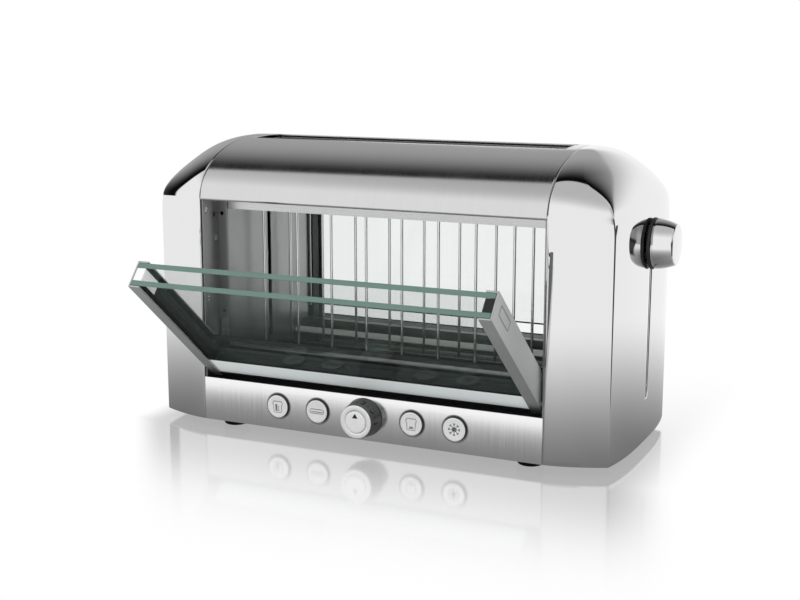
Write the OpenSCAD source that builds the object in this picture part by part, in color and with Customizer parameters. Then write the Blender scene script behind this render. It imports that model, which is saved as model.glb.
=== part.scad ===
// Long-slot toaster with a see-through chamber and a drop-down glass window on each side.
// Origin: middle of the footprint, on the surface that the feet stand on.
// X runs along the slot, the front is towards -Y, and Z is up. Sizes are in millimetres.

/* [Body] */
// Width of the body, front to back
body_w = 172; // [150:1:200]
// Length of the brushed band between the end caps
band_l = 275; // [240:1:320]
// Length of each polished end cap
cap_l = 49; // [40:0.5:65]
// Height of the body above the surface
body_h = 220.5; // [205:0.5:250]
// Height of the feet
foot_h = 6.5; // [4:0.5:10]
// Thickness of the outer sheet metal
sheet = 1.2; // [0.8:0.1:1.6]
// Wall of the end caps
cap_wall = 1.6; // [1.2:0.1:2.2]

/* [Window opening] */
// Height of the top edge of the control panel
panel_top = 40; // [38:0.5:46]
// Height of the bottom edge of the arched top
arch_z = 177; // [168:0.5:190]
// Height of the top of the inner sill
sill_z = 61; // [56:0.5:68]
// Height of the lower edge of the lintel
lintel_z = 168; // [160:0.5:172]

/* [Windows] */
// Depth of a window, outer face to inner face
window_t = 21; // [18:0.5:23]
// Thickness of a glass pane
pane_t = 4; // [3:0.5:5]
// Width of the window rails, seen from the front
rail_w = 9; // [7:0.5:12]
// Thickness of the rail metal
rail_wall = 1.3; // [1:0.1:1.5]
// Angle at which the front window stands open, and the most that a window opens
window_open = 50; // [30:1:55]
// Height of the pale strip at the foot of the window
strip_h = 18; // [12:0.5:20]
// Radius of the hinge pins
pin_r = 2.5; // [2:0.1:3]
// Height of the hinge pins
hinge_z = 49; // [48:0.5:52]
// Distance of the hinge pins behind the outer face
hinge_in = 5; // [4.5:0.25:6]

/* [Bread chamber] */
// Distance of the chamber's end walls inside the ends of the band
wall_in = 9; // [8:0.5:14]
// Distance between the middles of the two rows of guide wires
wire_gap = 41.5; // [36:0.5:48]
// Radius of a guide wire
wire_r = 1.1; // [0.8:0.1:1.5]
// Number of guide wires in a row
wire_n = 9; // [7:2:11]
// Distance of the outermost guide wires from the end walls
wire_in = 7.5; // [5:0.5:15]
// Radius of a quartz heating tube
tube_r = 4.5; // [4:0.5:6]

/* [Lift] */
// Height of the lever knob when it is up
knob_z = 153; // [150:1:160]
// Travel of the lever and the bread rack
lift_travel = 106; // [80:1:106]
// Radius of the lever knob at its widest
knob_r = 18; // [15:0.5:22]
// Length of the lever knob
knob_l = 15.5; // [14:0.5:24]
// Width of the lever slot in the end cap
slot_w = 4.4; // [3.6:0.1:5.5]
// Radius of the guide rod
rod_r = 4; // [3:0.5:5]

/* [Controls] */
// Height of the middle of the buttons and the dial
control_z = 24.2; // [22:0.1:26]
// Radius of a button
button_r = 8.9; // [7:0.1:10]
// Distance of the inner buttons from the middle
button_x1 = 38.5; // [32:0.5:44]
// Distance of the outer buttons from the middle
button_x2 = 72; // [64:0.5:80]
// Radius of the dial at its base
dial_r = 14.5; // [12:0.1:15]
// Radius of the dial at its face
dial_face_r = 12.4; // [10.5:0.1:12.6]
// How far the dial stands out
dial_l = 14; // [10:0.5:18]
// Radius of the stop button in the dial
stop_r = 8.2; // [7:0.1:9]

/* [Feet] */
// Radius of a foot
foot_r = 9.5; // [8:0.5:12]
// Distance of the feet inside the ends of the band
foot_in_x = 15.5; // [13:0.5:40]
// Distance of the feet's middles outside the lower frames
foot_gap = 4.3; // [4.3:0.1:6]

/* [Hidden] */

$fn = 64;
half_w = body_w / 2;
half_b = band_l / 2;
end_x = half_b + cap_l;
arch_h = body_h - arch_z;
arch_n = 2.1;
dome_z = arch_z - 12;   // height at which the ends begin to curve in
fit = 0.3;           // gap between pieces that only meet
running = 0.05;      // radial clearance of a pin or rod in its hole
corner_x = 5.5;      // how far the end cap's corner lies behind the middle of its end
corner_y = 13;       // how far the corner lies inside the body's width
chamber_l = band_l - 2 * wall_in;
wall_x = chamber_l / 2;
wire_pitch = (chamber_l - 2 * wire_in) / (wire_n - 1);
foot_x = half_b - foot_in_x;
wall_t = 1.5;
jamb_t = 1.2;
jamb_y = half_w - window_t - 3.3;   // plane of the walls' and frames' outer faces
foot_y = jamb_y + foot_gap;
rail_x = half_b - jamb_t - fit - 0.5;  // outer face of the window rails
window_z0 = panel_top + 1;
window_z1 = arch_z - 1;
hinge_y = half_w - hinge_in;
chamfer_h = 29;
chamfer_d = 11;
row_y = wire_gap / 2;
base_t = 1.5;
base_top = foot_h + base_t;
collar_t = 1.2;
collar_y = row_y - wire_r - collar_t + 1;
collar_x = wall_x - 2;
wire_z0 = panel_top + 8;
wire_z1 = arch_z + 3;
rack_z = lintel_z + 3;
blade_h = 6;
rod_x = wall_x + 24;
spring_wire = 1;
tray_w = chamber_l - 24;
tray_h = 14;
tray_z = base_top + fit;
tray_y0 = -(half_w - 30);
tube_y = row_y + 0.586 * (jamb_y - row_y);
gland_x = half_b - 9.5;

// Share of the half width that is left at angle t of the arch
function narrow(t) = pow(cos(t), 2 / arch_n);
// Share of the arch's height that is reached at angle t
function rise(t) = pow(sin(t), 2 / arch_n);

// Points of the arch, from the front edge over the top to the rear edge
function arch(w, h, steps) = concat(
    [for (i = [0:steps]) let (t = 90 * i / steps) [-w * narrow(t), arch_z + h * rise(t)]],
    [for (i = [steps - 1:-1:0]) let (t = 90 * i / steps) [w * narrow(t), arch_z + h * rise(t)]]);

// Plan of an end cap at full width: s runs from the seam, round the corner, to the middle of the end
function cap_square(s, l, w) = s < 0.5
    ? let (u = 2 * s) [(l - corner_x) * u, -(w - corner_y * pow(u, 1.6))]
    : let (v = 2 * s - 1) [l - corner_x * pow(1 - v, 3), -(w - corner_y) * (1 - v)];
function cap_round(s, l, w) = [l * sin(90 * s), -w * cos(90 * s)];
// Share of the half width and of the cap's length that is left at height z
function share_y(z, top) = let (u = min(1, max(0, (z - arch_z) / (top - arch_z))))
    pow(1 - pow(u, arch_n), 1 / arch_n);
function share_x(z, top) = let (u = min(1, max(0, (z - dome_z) / (top - dome_z)))) sqrt(1 - u * u);
// The plan is square-cornered on the upright part and grows round over most of the dome
function cap_blend(z) = let (k = min(1, max(0, (z - arch_z - 1) / (0.78 * arch_h))))
    0.6 * k * k * (3 - 2 * k);
function cap_point(s, z, l, w, top) =
    let (b = cap_blend(z), p = (1 - b) * cap_square(s, l, w) + b * cap_round(s, l, w))
    [p[0] * share_x(z, top), p[1] * share_y(z, top)];
function cap_ring(z, x0, l, w, top, n) = concat(
    [for (j = [0:n]) let (p = cap_point(j / n, z, l, w, top)) [x0 + p[0], p[1], z]],
    [for (j = [n - 1:-1:0]) let (p = cap_point(j / n, z, l, w, top)) [x0 + p[0], -p[1], z]]);

// Solid with the outer form of the right end cap
module cap_solid(x0, l, w, top, z0, n = 20, rows = 15) {
    m = 2 * n + 1;
    rings = concat([cap_ring(z0, x0, l, w, top, n)],
        [for (i = [0:rows - 1]) cap_ring(dome_z + (top - dome_z) * sin(90 * i / rows), x0, l, w, top, n)]);
    levels = len(rings);
    points = concat([for (r = rings) each r], [[x0, 0, top]]);
    apex = levels * m;
    sides = [for (k = [0:levels - 2]) for (j = [0:m - 2]) for (half = [0, 1])
        half == 0 ? [k * m + j, (k + 1) * m + j, (k + 1) * m + j + 1]
            : [k * m + j, (k + 1) * m + j + 1, k * m + j + 1]];
    top_fan = [for (j = [0:m - 2]) [(levels - 1) * m + j, apex, (levels - 1) * m + j + 1]];
    bottom = [[for (j = [0:m - 1]) j]];
    seam = concat([for (k = [0:levels - 2]) [k * m + m - 1, (k + 1) * m + m - 1, (k + 1) * m, k * m]],
        [[levels * m - 1, apex, (levels - 1) * m]]);
    polyhedron(points, concat(sides, top_fan, bottom, seam), convexity = 6);
}

// Plan outline of one end of the body, for the base plate
function end_plan(l, w, n) = concat(
    [for (j = [0:n]) let (p = cap_square(j / n, l, w)) [half_b + p[0], p[1]]],
    [for (j = [n - 1:-1:0]) let (p = cap_square(j / n, l, w)) [half_b + p[0], -p[1]]]);

module mirror_x() { children(); mirror([1, 0, 0]) children(); }
module mirror_y() { children(); mirror([0, 1, 0]) children(); }

module end_cap_shell() {
    difference() {
        cap_solid(half_b, cap_l, half_w, body_h, foot_h);
        cap_solid(half_b - 1, cap_l - cap_wall + 1, half_w - cap_wall, body_h - cap_wall, foot_h - 1);
    }
}

lever_slot_z0 = knob_z - lift_travel - blade_h - 1.5;
lever_slot_z1 = knob_z + blade_h + 1.5;

module left_end_cap() {
    color("gainsboro") mirror([1, 0, 0]) end_cap_shell();
}

module right_end_cap() {
    color("gainsboro") difference() {
        end_cap_shell();
        translate([end_x - 10, -slot_w / 2, lever_slot_z0]) cube([20, slot_w, lever_slot_z1 - lever_slot_z0]);
    }
}

// Brushed arch with the bread slot cut in its crown
module top_hood() {
    color("silver") difference() {
        translate([-half_b + fit, 0, 0]) rotate([90, 0, 90]) linear_extrude(band_l - 2 * fit)
            difference() {
                polygon(arch(half_w, arch_h, 24));
                translate([0, -0.01]) polygon(arch(half_w - sheet, arch_h - sheet, 24));
            }
        translate([-collar_x - collar_t, -collar_y - collar_t, arch_z + 10])
            cube([2 * (collar_x + collar_t), 2 * (collar_y + collar_t), arch_h]);
    }
}

// Liner of the bread slot, from the crown of the arch down to the guide wires
module slot_collar() {
    z0 = wire_z1 + wire_r * 1.3 + 0.1;
    top = body_h - 0.6;
    color("dimgray") difference() {
        translate([-collar_x - collar_t + 0.1, -collar_y - collar_t + 0.1, z0])
            cube([2 * (collar_x + collar_t) - 0.2, 2 * (collar_y + collar_t) - 0.2, top - z0]);
        translate([-collar_x, -collar_y, z0 - 1]) cube([2 * collar_x, 2 * collar_y, top - z0 + 2]);
        // The liner follows the arch
        translate([-half_b, 0, 0]) rotate([90, 0, 90]) linear_extrude(band_l) difference() {
            translate([-half_w, arch_z + 20]) square([body_w, arch_h]);
            polygon(arch(half_w - 0.4, arch_h - 0.4, 24));
        }
    }
}

// Upright brushed panel below the window
module lower_panel() {
    translate([-half_b + fit, -half_w, foot_h]) cube([band_l - 2 * fit, sheet, panel_top - foot_h]);
    translate([-half_b + fit, -half_w + sheet, foot_h + base_t]) cube([band_l - 2 * fit, 8, sheet]);
}

module front_panel() {
    color("silver") difference() {
        lower_panel();
        for (x = [-button_x2, -button_x1, button_x1, button_x2])
            translate([x, -half_w - 1, control_z]) rotate([-90, 0, 0])
                cylinder(r = button_r + 0.6, h = sheet + 2);
        translate([0, -half_w - 1, control_z]) rotate([-90, 0, 0]) cylinder(r = dial_r - 2, h = sheet + 2);
    }
}

module rear_panel() {
    color("silver") difference() {
        mirror([0, 1, 0]) lower_panel();
        translate([-tray_w / 2 - 1, half_w - 12, tray_z - 0.6]) cube([tray_w + 2, 20, tray_h + 3.2]);
        translate([-gland_x, half_w - 5, base_top + 10]) rotate([-90, 0, 0]) cylinder(r = 6.1, h = 10);
    }
}

// Black strip that closes the gap under the window
module sill() {
    translate([-half_b + jamb_t + 2 * fit, -half_w + sheet + fit, panel_top - 6])
        cube([band_l - 2 * jamb_t - 4 * fit, half_w - sheet - jamb_y - 2 * fit, 4.6]);
}
module window_sills() { color([0.05, 0.05, 0.05]) mirror_y() sill(); }

module base_plate() {
    edge = cap_wall + fit;
    color([0.12, 0.12, 0.12]) difference() {
        union() {
            translate([-half_b, -half_w + sheet + fit, foot_h])
                cube([band_l, body_w - 2 * sheet - 2 * fit, base_t]);
            mirror_x() translate([0, 0, foot_h]) linear_extrude(base_t)
                polygon(end_plan(cap_l - edge, half_w - edge, 16));
        }
        for (x = [-foot_x, foot_x], y = [-foot_y, foot_y])
            translate([x, y, foot_h - 1]) cylinder(r = 2.1, h = base_t + 2);
        for (x = [-90:15:90], y = [-34, 0, 34])
            translate([x - 1.5, y - 10, foot_h - 1]) cube([3, 20, base_t + 2]);
    }
}

// End wall of the bread chamber, with the slot that the rack slides in
module inner_wall() {
    difference() {
        translate([wall_x, -jamb_y, base_top]) cube([wall_t, 2 * jamb_y, arch_z + 13 - base_top]);
        translate([wall_x - 1, -2.6, rack_z - lift_travel - blade_h - 3])
            cube([wall_t + 2, 5.2, lift_travel + blade_h + 10]);
        mirror_y() for (z = [lower_tube_z, upper_tube_z])
            translate([wall_x - 1, tube_y, z]) rotate([0, 90, 0]) cylinder(r = tube_r + 0.3, h = wall_t + 2);
    }
    translate([wall_x + wall_t, -jamb_y, base_top]) cube([10, 2 * jamb_y, wall_t]);
}
module left_inner_wall() { color("darkgray") mirror([1, 0, 0]) inner_wall(); }
module right_inner_wall() { color("darkgray") inner_wall(); }

// Side of the window opening, at the front right: a return by the cap and a step to the inner wall
module jamb() {
    x1 = half_b - fit;
    difference() {
        union() {
            translate([x1 - jamb_t, -half_w + sheet + fit, panel_top - 6])
                cube([jamb_t, half_w - sheet - 2 * fit - jamb_y, arch_z - panel_top + 6 - fit]);
            translate([wall_x, -jamb_y - jamb_t - fit, panel_top])
                cube([x1 - wall_x, jamb_t, arch_z - panel_top - fit]);
        }
        translate([x1 - jamb_t - 1, -hinge_y, hinge_z]) rotate([0, 90, 0])
            cylinder(r = pin_r + running, h = jamb_t + 2);
        for (p = jamb_screw_at) translate([x1 - jamb_t - 1, -p[0], p[1]]) rotate([0, 90, 0])
            cylinder(r = 2.55, h = jamb_t + 2, $fn = 32);
    }
}
module right_jambs() { color("gray") mirror_y() jamb(); }
module left_jambs() { color("gray") mirror([1, 0, 0]) mirror_y() jamb(); }

// Inner frame above the window: a shelf from the arch's lower edge and an upright lip
module lintel() {
    x = wall_x - fit;
    translate([-half_b + 2, -half_w + sheet + fit, arch_z])
        cube([band_l - 4, half_w - sheet - fit - jamb_y, wall_t]);
    translate([-x, -jamb_y, lintel_z]) cube([2 * x, wall_t, arch_z + 13 - lintel_z]);
}
module front_lintel() { color("lightgray") lintel(); }
module rear_lintel() { color("lightgray") mirror([0, 1, 0]) lintel(); }

// Inner frame below the window, folded over at its top edge
module lower_frame() {
    x = wall_x - fit;
    translate([-x, -jamb_y, base_top]) cube([2 * x, wall_t, sill_z - base_top]);
    translate([-x, -jamb_y + wall_t, sill_z - wall_t]) cube([2 * x, 7, wall_t]);
}
module front_lower_frame() { color("dimgray") lower_frame(); }
module rear_lower_frame() {
    color("dimgray") difference() {
        mirror([0, 1, 0]) lower_frame();
        translate([-tray_w / 2 - 1, jamb_y - 10, tray_z - 0.6]) cube([tray_w + 2, 20, tray_h + 3.2]);
    }
}

// A row of upright guide wires between two long wires
module guide_wires() {
    for (i = [0:wire_n - 1]) translate([(i - (wire_n - 1) / 2) * wire_pitch, -row_y, wire_z0])
        cylinder(r = wire_r, h = wire_z1 - wire_z0, $fn = 24);
    for (z = [wire_z0, wire_z1]) translate([-wall_x + fit, -row_y, z]) rotate([0, 90, 0])
        cylinder(r = wire_r * 1.3, h = chamber_l - 2 * fit, $fn = 24);
}
module front_guide_wires() { color("silver") guide_wires(); }
module rear_guide_wires() { color("silver") mirror([0, 1, 0]) guide_wires(); }

module tube_pair(z) {
    mirror_y() translate([-wall_x - 6, tube_y, z]) rotate([0, 90, 0]) difference() {
        cylinder(r = tube_r, h = chamber_l + 12);
        translate([0, 0, 4]) cylinder(r = tube_r - 1, h = chamber_l + 4);
    }
}
lower_tube_z = panel_top + 11;
upper_tube_z = arch_z + 9;
module quartz_tubes() { color("white") for (z = [lower_tube_z, upper_tube_z]) tube_pair(z); }

// Ceramic holders on the ends of the four tubes
module tube_holders() {
    color("ivory") mirror_x() mirror_y() for (z = [lower_tube_z, upper_tube_z])
        translate([wall_x + wall_t + 0.2, tube_y, z]) difference() {
            translate([0, -7, -7]) cube([8, 14, 14]);
            translate([-1, 0, 0]) rotate([0, 90, 0]) cylinder(r = tube_r + 0.02, h = 5.5);
        }
}

// Polished trough behind each tube; z is the height of the tube and side is 1 below it and -1 above it
module reflector(z, side) {
    x = wall_x - fit;
    r = tube_r + 4;
    translate([-x, -tube_y, z]) rotate([90, 0, 90]) linear_extrude(2 * x) scale([1, side])
        difference() {
            union() {
                circle(r = r);
                translate([tube_y - jamb_y + wall_t + fit, -r * 0.2])
                    square([jamb_y - wall_t - tube_y - fit, 1.2]);
            }
            circle(r = r - 1.2);
            translate([-r - 1, r * 0.2]) square([2 * r + 2, r + 2]);
        }
}
module lower_reflectors() { color("lightgray") mirror_y() reflector(lower_tube_z, 1); }
module upper_reflectors() { color("lightgray") mirror_y() reflector(upper_tube_z, -1); }

// Countersunk screws that hold the sides of the window openings to the end caps
jamb_screw_at = [[half_w - 6.2, arch_z - 8], [jamb_y + 7.5, arch_z - 31], [half_w - 7, panel_top + 60]];
module jamb_screws() {
    color("silver") mirror_x() mirror_y() for (p = jamb_screw_at)
        translate([half_b - fit - jamb_t, -p[0], p[1]]) rotate([0, 90, 0]) difference() {
            union() {
                translate([0, 0, 0.1]) cylinder(r = 2.5, h = jamb_t - 0.3, $fn = 32);
                translate([0, 0, jamb_t - 0.2]) cylinder(r = 1.3, h = 5, $fn = 24);
            }
            for (a = [0, 90]) rotate([0, 0, a]) translate([-1.6, -0.3, -0.1]) cube([3.2, 0.6, 0.7]);
        }
}

// Hooked lugs on the steps of the jambs, beside the foot of each window
module stay_lugs() {
    color("gray") mirror_x() mirror_y()
        translate([wall_x + 1, -jamb_y - jamb_t - fit, sill_z + 6]) rotate([90, 0, 0]) difference() {
            union() {
                cube([5, 16, 1.1]);
                translate([0, 7, 0]) cube([1.6, 8, 1.4]);
            }
            translate([3.2, 4, -1]) cylinder(r = 1, h = 4, $fn = 24);
        }
}

module feet() {
    color([0.03, 0.03, 0.03]) for (x = [-foot_x, foot_x], y = [-foot_y, foot_y])
        translate([x, y, 0]) difference() {
        union() {
            cylinder(r1 = foot_r - 1.2, r2 = foot_r, h = 1.2);
            translate([0, 0, 1.2]) cylinder(r = foot_r, h = foot_h - 1.2);
        }
        translate([0, 0, -1]) cylinder(r = 4, h = 4);
        translate([0, 0, 2]) cylinder(r = 2.1, h = foot_h);
    }
}

module foot_screws() {
    color("silver") for (x = [-foot_x, foot_x], y = [-foot_y, foot_y]) translate([x, y, 1.2]) {
        difference() {
            cylinder(r = 3.4, h = 1.8, $fn = 32);
            for (a = [0, 90]) rotate([0, 0, a]) translate([-2, -0.35, -0.1]) cube([4, 0.7, 1]);
        }
        translate([0, 0, 1.8]) cylinder(r = 2.05, h = foot_h + base_t + 0.1 - 3, $fn = 32);
    }
}

rod_z1 = arch_z + 18;
module guide_rod() {
    color("silver") translate([rod_x, 0, base_top]) cylinder(r = rod_r, h = rod_z1 - base_top);
}

// Angle that ties the head of the guide rod to the inner wall
module guide_rod_bracket() {
    color("gray") difference() {
        union() {
            translate([wall_x + wall_t, -14, arch_z + 1]) cube([wall_t, 28, 14]);
            translate([wall_x + wall_t, -14, arch_z + 13.5]) cube([rod_x - wall_x + 8, 28, wall_t]);
        }
        translate([rod_x, 0, arch_z]) cylinder(r = rod_r + 0.05, h = 30);
        translate([wall_x, -3, arch_z - 5]) cube([wall_t + 5, 6, 11]);
    }
}

module hold_magnet() {
    color("dimgray") translate([wall_x + 36, -11, base_top]) {
        cube([2.5, 22, 24]);
        translate([2.5, 0, 0]) cube([14, 22, 2.5]);
        translate([9, 11, 2.5]) cylinder(r = 6, h = 18);
    }
}

board_y = -half_w + 13;
module control_board() {
    color("darkgreen") translate([-90, board_y, base_top + 1.5])
        cube([180, 1.6, panel_top - 6.5 - base_top - 2]);
    color("darkgreen") for (x = [-88, 84]) translate([x, board_y, base_top])
        cube([4, min(10, window_t - 10), 1.5]);
}

switch_xs = [-button_x2, -button_x1, button_x1, button_x2];
module button_switches() {
    color([0.1, 0.1, 0.1]) for (x = switch_xs) translate([x, board_y, control_z]) rotate([90, 0, 0]) {
        translate([-3.5, -3.5, 0]) cube([7, 7, 3.5]);
        translate([0, 0, 3.5]) cylinder(r = 1.6, h = 1, $fn = 24);
    }
}

module dial_encoder() {
    color("gray") translate([0, board_y, control_z]) rotate([90, 0, 0]) {
        translate([-6.5, -6.5, 0]) cube([13, 13, 5]);
        translate([0, 0, 5]) cylinder(r = 3, h = 14);
    }
}

module power_board() {
    color("darkgreen") translate([-wall_x - 40, -40, base_top + 5]) cube([32, 80, 1.6]);
    color("dimgray") translate([-wall_x - 36, -30, base_top + 6.6]) cube([22, 26, 20]);
    color("dimgray") for (y = [-36, 32]) translate([-wall_x - 38, y, base_top]) cube([6, 4, 5]);
}

// Gland that the mains lead passes through, at the left end of the rear panel
module cord_gland() {
    color([0.05, 0.05, 0.05]) translate([-gland_x, 0, base_top + 10]) difference() {
        union() {
            translate([-6.5, jamb_y + 1, -9.8]) cube([13, half_w - 11.3 - jamb_y - 1, 19]);
            translate([0, jamb_y + 1, 0]) rotate([-90, 0, 0]) cylinder(r = 6, h = half_w - jamb_y - 0.9);
            translate([0, half_w + 0.1, 0]) rotate([-90, 0, 0]) cylinder(r = 7.5, h = 2);
        }
        translate([0, jamb_y, 0]) rotate([-90, 0, 0]) cylinder(r = 3.6, h = 40);
    }
}

// One window, shut, at the front: its pieces are turned open or mirrored below
pane_x = rail_x - rail_wall - 0.2;
outer_pane_y = -half_w + rail_wall + 0.1;
inner_pane_y = -half_w + window_t - rail_wall - 0.1 - pane_t;

// Wedge that is cut off the inner lower corner, so that it clears the sill and the jambs
module swing_clearance() {
    y = -half_w + window_t;
    translate([-half_b, 0, 0]) rotate([90, 0, 90]) linear_extrude(band_l)
        polygon([[y + 0.01, window_z0 + chamfer_h], [y + 6, window_z0 + chamfer_h],
            [y + 6, window_z0 - 0.1], [y - chamfer_d, window_z0 - 0.1]]);
}

module window_rail() {
    difference() {
        translate([rail_x - rail_w, -half_w, window_z0]) cube([rail_w, window_t, window_z1 - window_z0]);
        translate([rail_x - rail_w - 1, -half_w + rail_wall, window_z0 - 1])
            cube([rail_w + 1 - rail_wall, window_t - 2 * rail_wall, window_z1 - window_z0 + 2]);
        swing_clearance();
        // Finger recess in the outer side
        translate([rail_x - 0.5, -half_w + window_t / 2 - 3.5, window_z1 - 31]) cube([2, 8, 22]);
        translate([rail_x - rail_wall - 1, -hinge_y, hinge_z]) rotate([0, 90, 0])
            cylinder(r = pin_r, h = rail_wall + 2);
    }
}
module pane(y, z0, z1) { translate([-pane_x, y, z0]) cube([2 * pane_x, pane_t, z1 - z0]); }
module outer_pane() { pane(outer_pane_y, window_z0 + 0.5, window_z1); }
module inner_pane() { pane(inner_pane_y, window_z0 + chamfer_h + 1, window_z1); }
module window_strip() {
    y0 = outer_pane_y + pane_t + 0.05;
    y1 = inner_pane_y - 0.05;
    x = rail_x - rail_w + 0.5;
    difference() {
        translate([-x, y0, window_z0 + 0.5]) cube([2 * x, y1 - y0, strip_h]);
        translate([-x - 1, y0 + 1.2, window_z0 + 1.7]) cube([2 * x + 2, 2.4, strip_h - 2.4]);
        swing_clearance();
    }
}
module window_liners() {
    y0 = outer_pane_y + pane_t + 0.05;
    y1 = inner_pane_y - 0.05;
    x0 = rail_x - rail_w + 0.5 + fit;
    mirror_x() difference() {
        translate([x0, y0, window_z0 + 0.5])
            cube([rail_x - rail_wall - x0, y1 - y0, window_z1 - window_z0 - 1]);
        swing_clearance();
    }
}
module window_pins() {
    mirror_x() translate([rail_x - rail_wall, -hinge_y, hinge_z]) rotate([0, 90, 0]) {
        cylinder(r = pin_r, h = half_b + 1.5 - rail_x + rail_wall);
    }
}

// Turns a front window piece open about its hinge pins
module opened() {
    translate([0, -hinge_y, hinge_z]) rotate([window_open, 0, 0]) translate([0, hinge_y, -hinge_z]) children();
}
module front_window_right_rail() { color("silver") opened() window_rail(); }
module front_window_left_rail() { color("silver") opened() mirror([1, 0, 0]) window_rail(); }
module front_window_outer_pane() { color([0.6, 0.8, 0.75, 0.4]) opened() outer_pane(); }
module front_window_inner_pane() { color([0.6, 0.8, 0.75, 0.4]) opened() inner_pane(); }
module front_window_strip() { color("lightgray") opened() window_strip(); }
module front_window_liners() { color([0.04, 0.04, 0.04]) opened() window_liners(); }
module front_window_pins() { color("silver") opened() window_pins(); }
module rear_window_right_rail() { color("silver") mirror([0, 1, 0]) window_rail(); }
module rear_window_left_rail() { color("silver") mirror([0, 1, 0]) mirror([1, 0, 0]) window_rail(); }
module rear_window_outer_pane() { color([0.6, 0.8, 0.75, 0.4]) mirror([0, 1, 0]) outer_pane(); }
module rear_window_inner_pane() { color([0.6, 0.8, 0.75, 0.4]) mirror([0, 1, 0]) inner_pane(); }
module rear_window_strip() { color("lightgray") mirror([0, 1, 0]) window_strip(); }
module rear_window_liners() { color([0.04, 0.04, 0.04]) mirror([0, 1, 0]) window_liners(); }
module rear_window_pins() { color("silver") mirror([0, 1, 0]) window_pins(); }

// Barrel-shaped knob on a black neck, outside the end cap
neck_l = 2.6;
knob_x = end_x + 0.6 + neck_l;
module lever_knob() {
    flat_r = knob_r * 0.8;
    bow = (knob_l * knob_l + (knob_r - flat_r) * (knob_r - flat_r)) / (2 * (knob_r - flat_r));
    color("gainsboro") translate([knob_x, 0, knob_z]) rotate([0, 90, 0])
        rotate_extrude($fn = 72) intersection() {
        square([knob_r, knob_l]);
        translate([knob_r - bow, 0]) circle(r = bow, $fn = 180);
    }
}
module knob_collar() {
    color([0.02, 0.02, 0.02]) translate([knob_x - neck_l, 0, knob_z]) rotate([0, 90, 0])
        cylinder(r = knob_r + 0.6, h = neck_l);
}

// Blade through the lever slot, with a sliding block on the guide rod
module lift_carriage() {
    block_x = wall_x + 12;
    color("gray") difference() {
        union() {
            translate([block_x, -9, knob_z - 10]) cube([24, 18, 26]);
            translate([block_x + 24, -1.6, knob_z - blade_h])
                cube([knob_x - neck_l - block_x - 24, 3.2, 2 * blade_h]);
            translate([wall_x + 4, -1.2, rack_z - blade_h]) cube([8, 2.4, blade_h]);
        }
        translate([rod_x, 0, 0]) cylinder(r = rod_r + running, h = 400);
    }
}

// Long blade with cross fingers that carry the bread
module bread_rack() {
    color("silver") union() {
        translate([-wall_x - 6, -1.2, rack_z - blade_h]) cube([chamber_l + 6 + 4, 2.4, blade_h]);
        for (i = [0:wire_n]) translate([(i - wire_n / 2) * wire_pitch * 0.9, 0, rack_z]) rotate([90, 0, 0])
            cylinder(r = wire_r * 1.1, h = 2 * (collar_y - 2.5), center = true, $fn = 24);
    }
}

spring_turns = 10;
spring_steps = 8;
spring_coil = rod_r + 3;
spring_top = knob_z - 10 - fit;
function spring_at(k) = let (a = 360 * k / spring_steps, f = k / (spring_turns * spring_steps))
    [rod_x + spring_coil * cos(a), spring_coil * sin(a),
     base_top + fit + spring_wire + f * (spring_top - base_top - fit - 2 * spring_wire)];
module lift_spring() {
    count = spring_turns * spring_steps;
    sides = 6;
    points = [for (k = [0:count]) let (a = 360 * k / spring_steps, c = spring_at(k)) for (j = [0:sides - 1])
        let (b = 360 * j / sides) c + spring_wire * [cos(b) * cos(a), cos(b) * sin(a), sin(b)]];
    walls = [for (k = [0:count - 1]) for (j = [0:sides - 1]) let (n = (j + 1) % sides) for (half = [0, 1])
        half == 0 ? [k * sides + j, (k + 1) * sides + n, k * sides + n]
            : [k * sides + j, (k + 1) * sides + j, (k + 1) * sides + n]];
    start = [[for (j = [0:sides - 1]) j]];
    finish = [[for (j = [sides - 1:-1:0]) count * sides + j]];
    color("silver") polyhedron(points, concat(walls, start, finish), convexity = 20);
}

// Domed button on a short stem that reaches its switch
module button(x) {
    translate([x, -half_w, control_z]) rotate([90, 0, 0]) {
        translate([0, 0, -4]) cylinder(r = button_r, h = 5.2);
        translate([0, 0, 1.2]) cylinder(r1 = button_r, r2 = button_r - 1, h = 0.8);
        translate([0, 0, -7]) cylinder(r = 2, h = 3, $fn = 32);
    }
}
module bread_button() { color("whitesmoke") button(-button_x2); }
module bagel_button() { color("whitesmoke") button(-button_x1); }
module gluten_free_button() { color("whitesmoke") button(button_x1); }
module defrost_button() { color("whitesmoke") button(button_x2); }

module dial() {
    color("gainsboro") translate([0, -half_w - 0.4, control_z]) rotate([90, 0, 0]) difference() {
        union() {
            cylinder(r1 = dial_r, r2 = dial_face_r, h = dial_l);
            translate([0, 0, -6]) cylinder(r = 6, h = 6);
        }
        translate([0, 0, -7]) cylinder(r = 3 + running, h = 14);
        translate([0, 0, dial_l - 5]) cylinder(r = stop_r + 0.3, h = 6);
    }
}

// Stop button in the middle of the dial; it doesn't turn with the dial
module stop_button() {
    color("whitesmoke") translate([0, -half_w - 0.4 - dial_l, control_z]) rotate([90, 0, 0])
        translate([0, 0, -4.4 + 0.8]) cylinder(r = stop_r, h = 4.4);
}

module crumb_tray() {
    y1 = half_w - 0.4;
    color("lightgray") difference() {
        translate([-tray_w / 2, tray_y0, tray_z]) cube([tray_w, y1 - tray_y0, tray_h]);
        translate([-tray_w / 2 + 1.2, tray_y0 + 1.2, tray_z + 1.2])
            cube([tray_w - 2.4, y1 - tray_y0 - 4, tray_h]);
        // Finger notch
        translate([-20, y1 - 5, tray_z + tray_h - 5]) cube([40, 10, 6]);
    }
}

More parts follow.
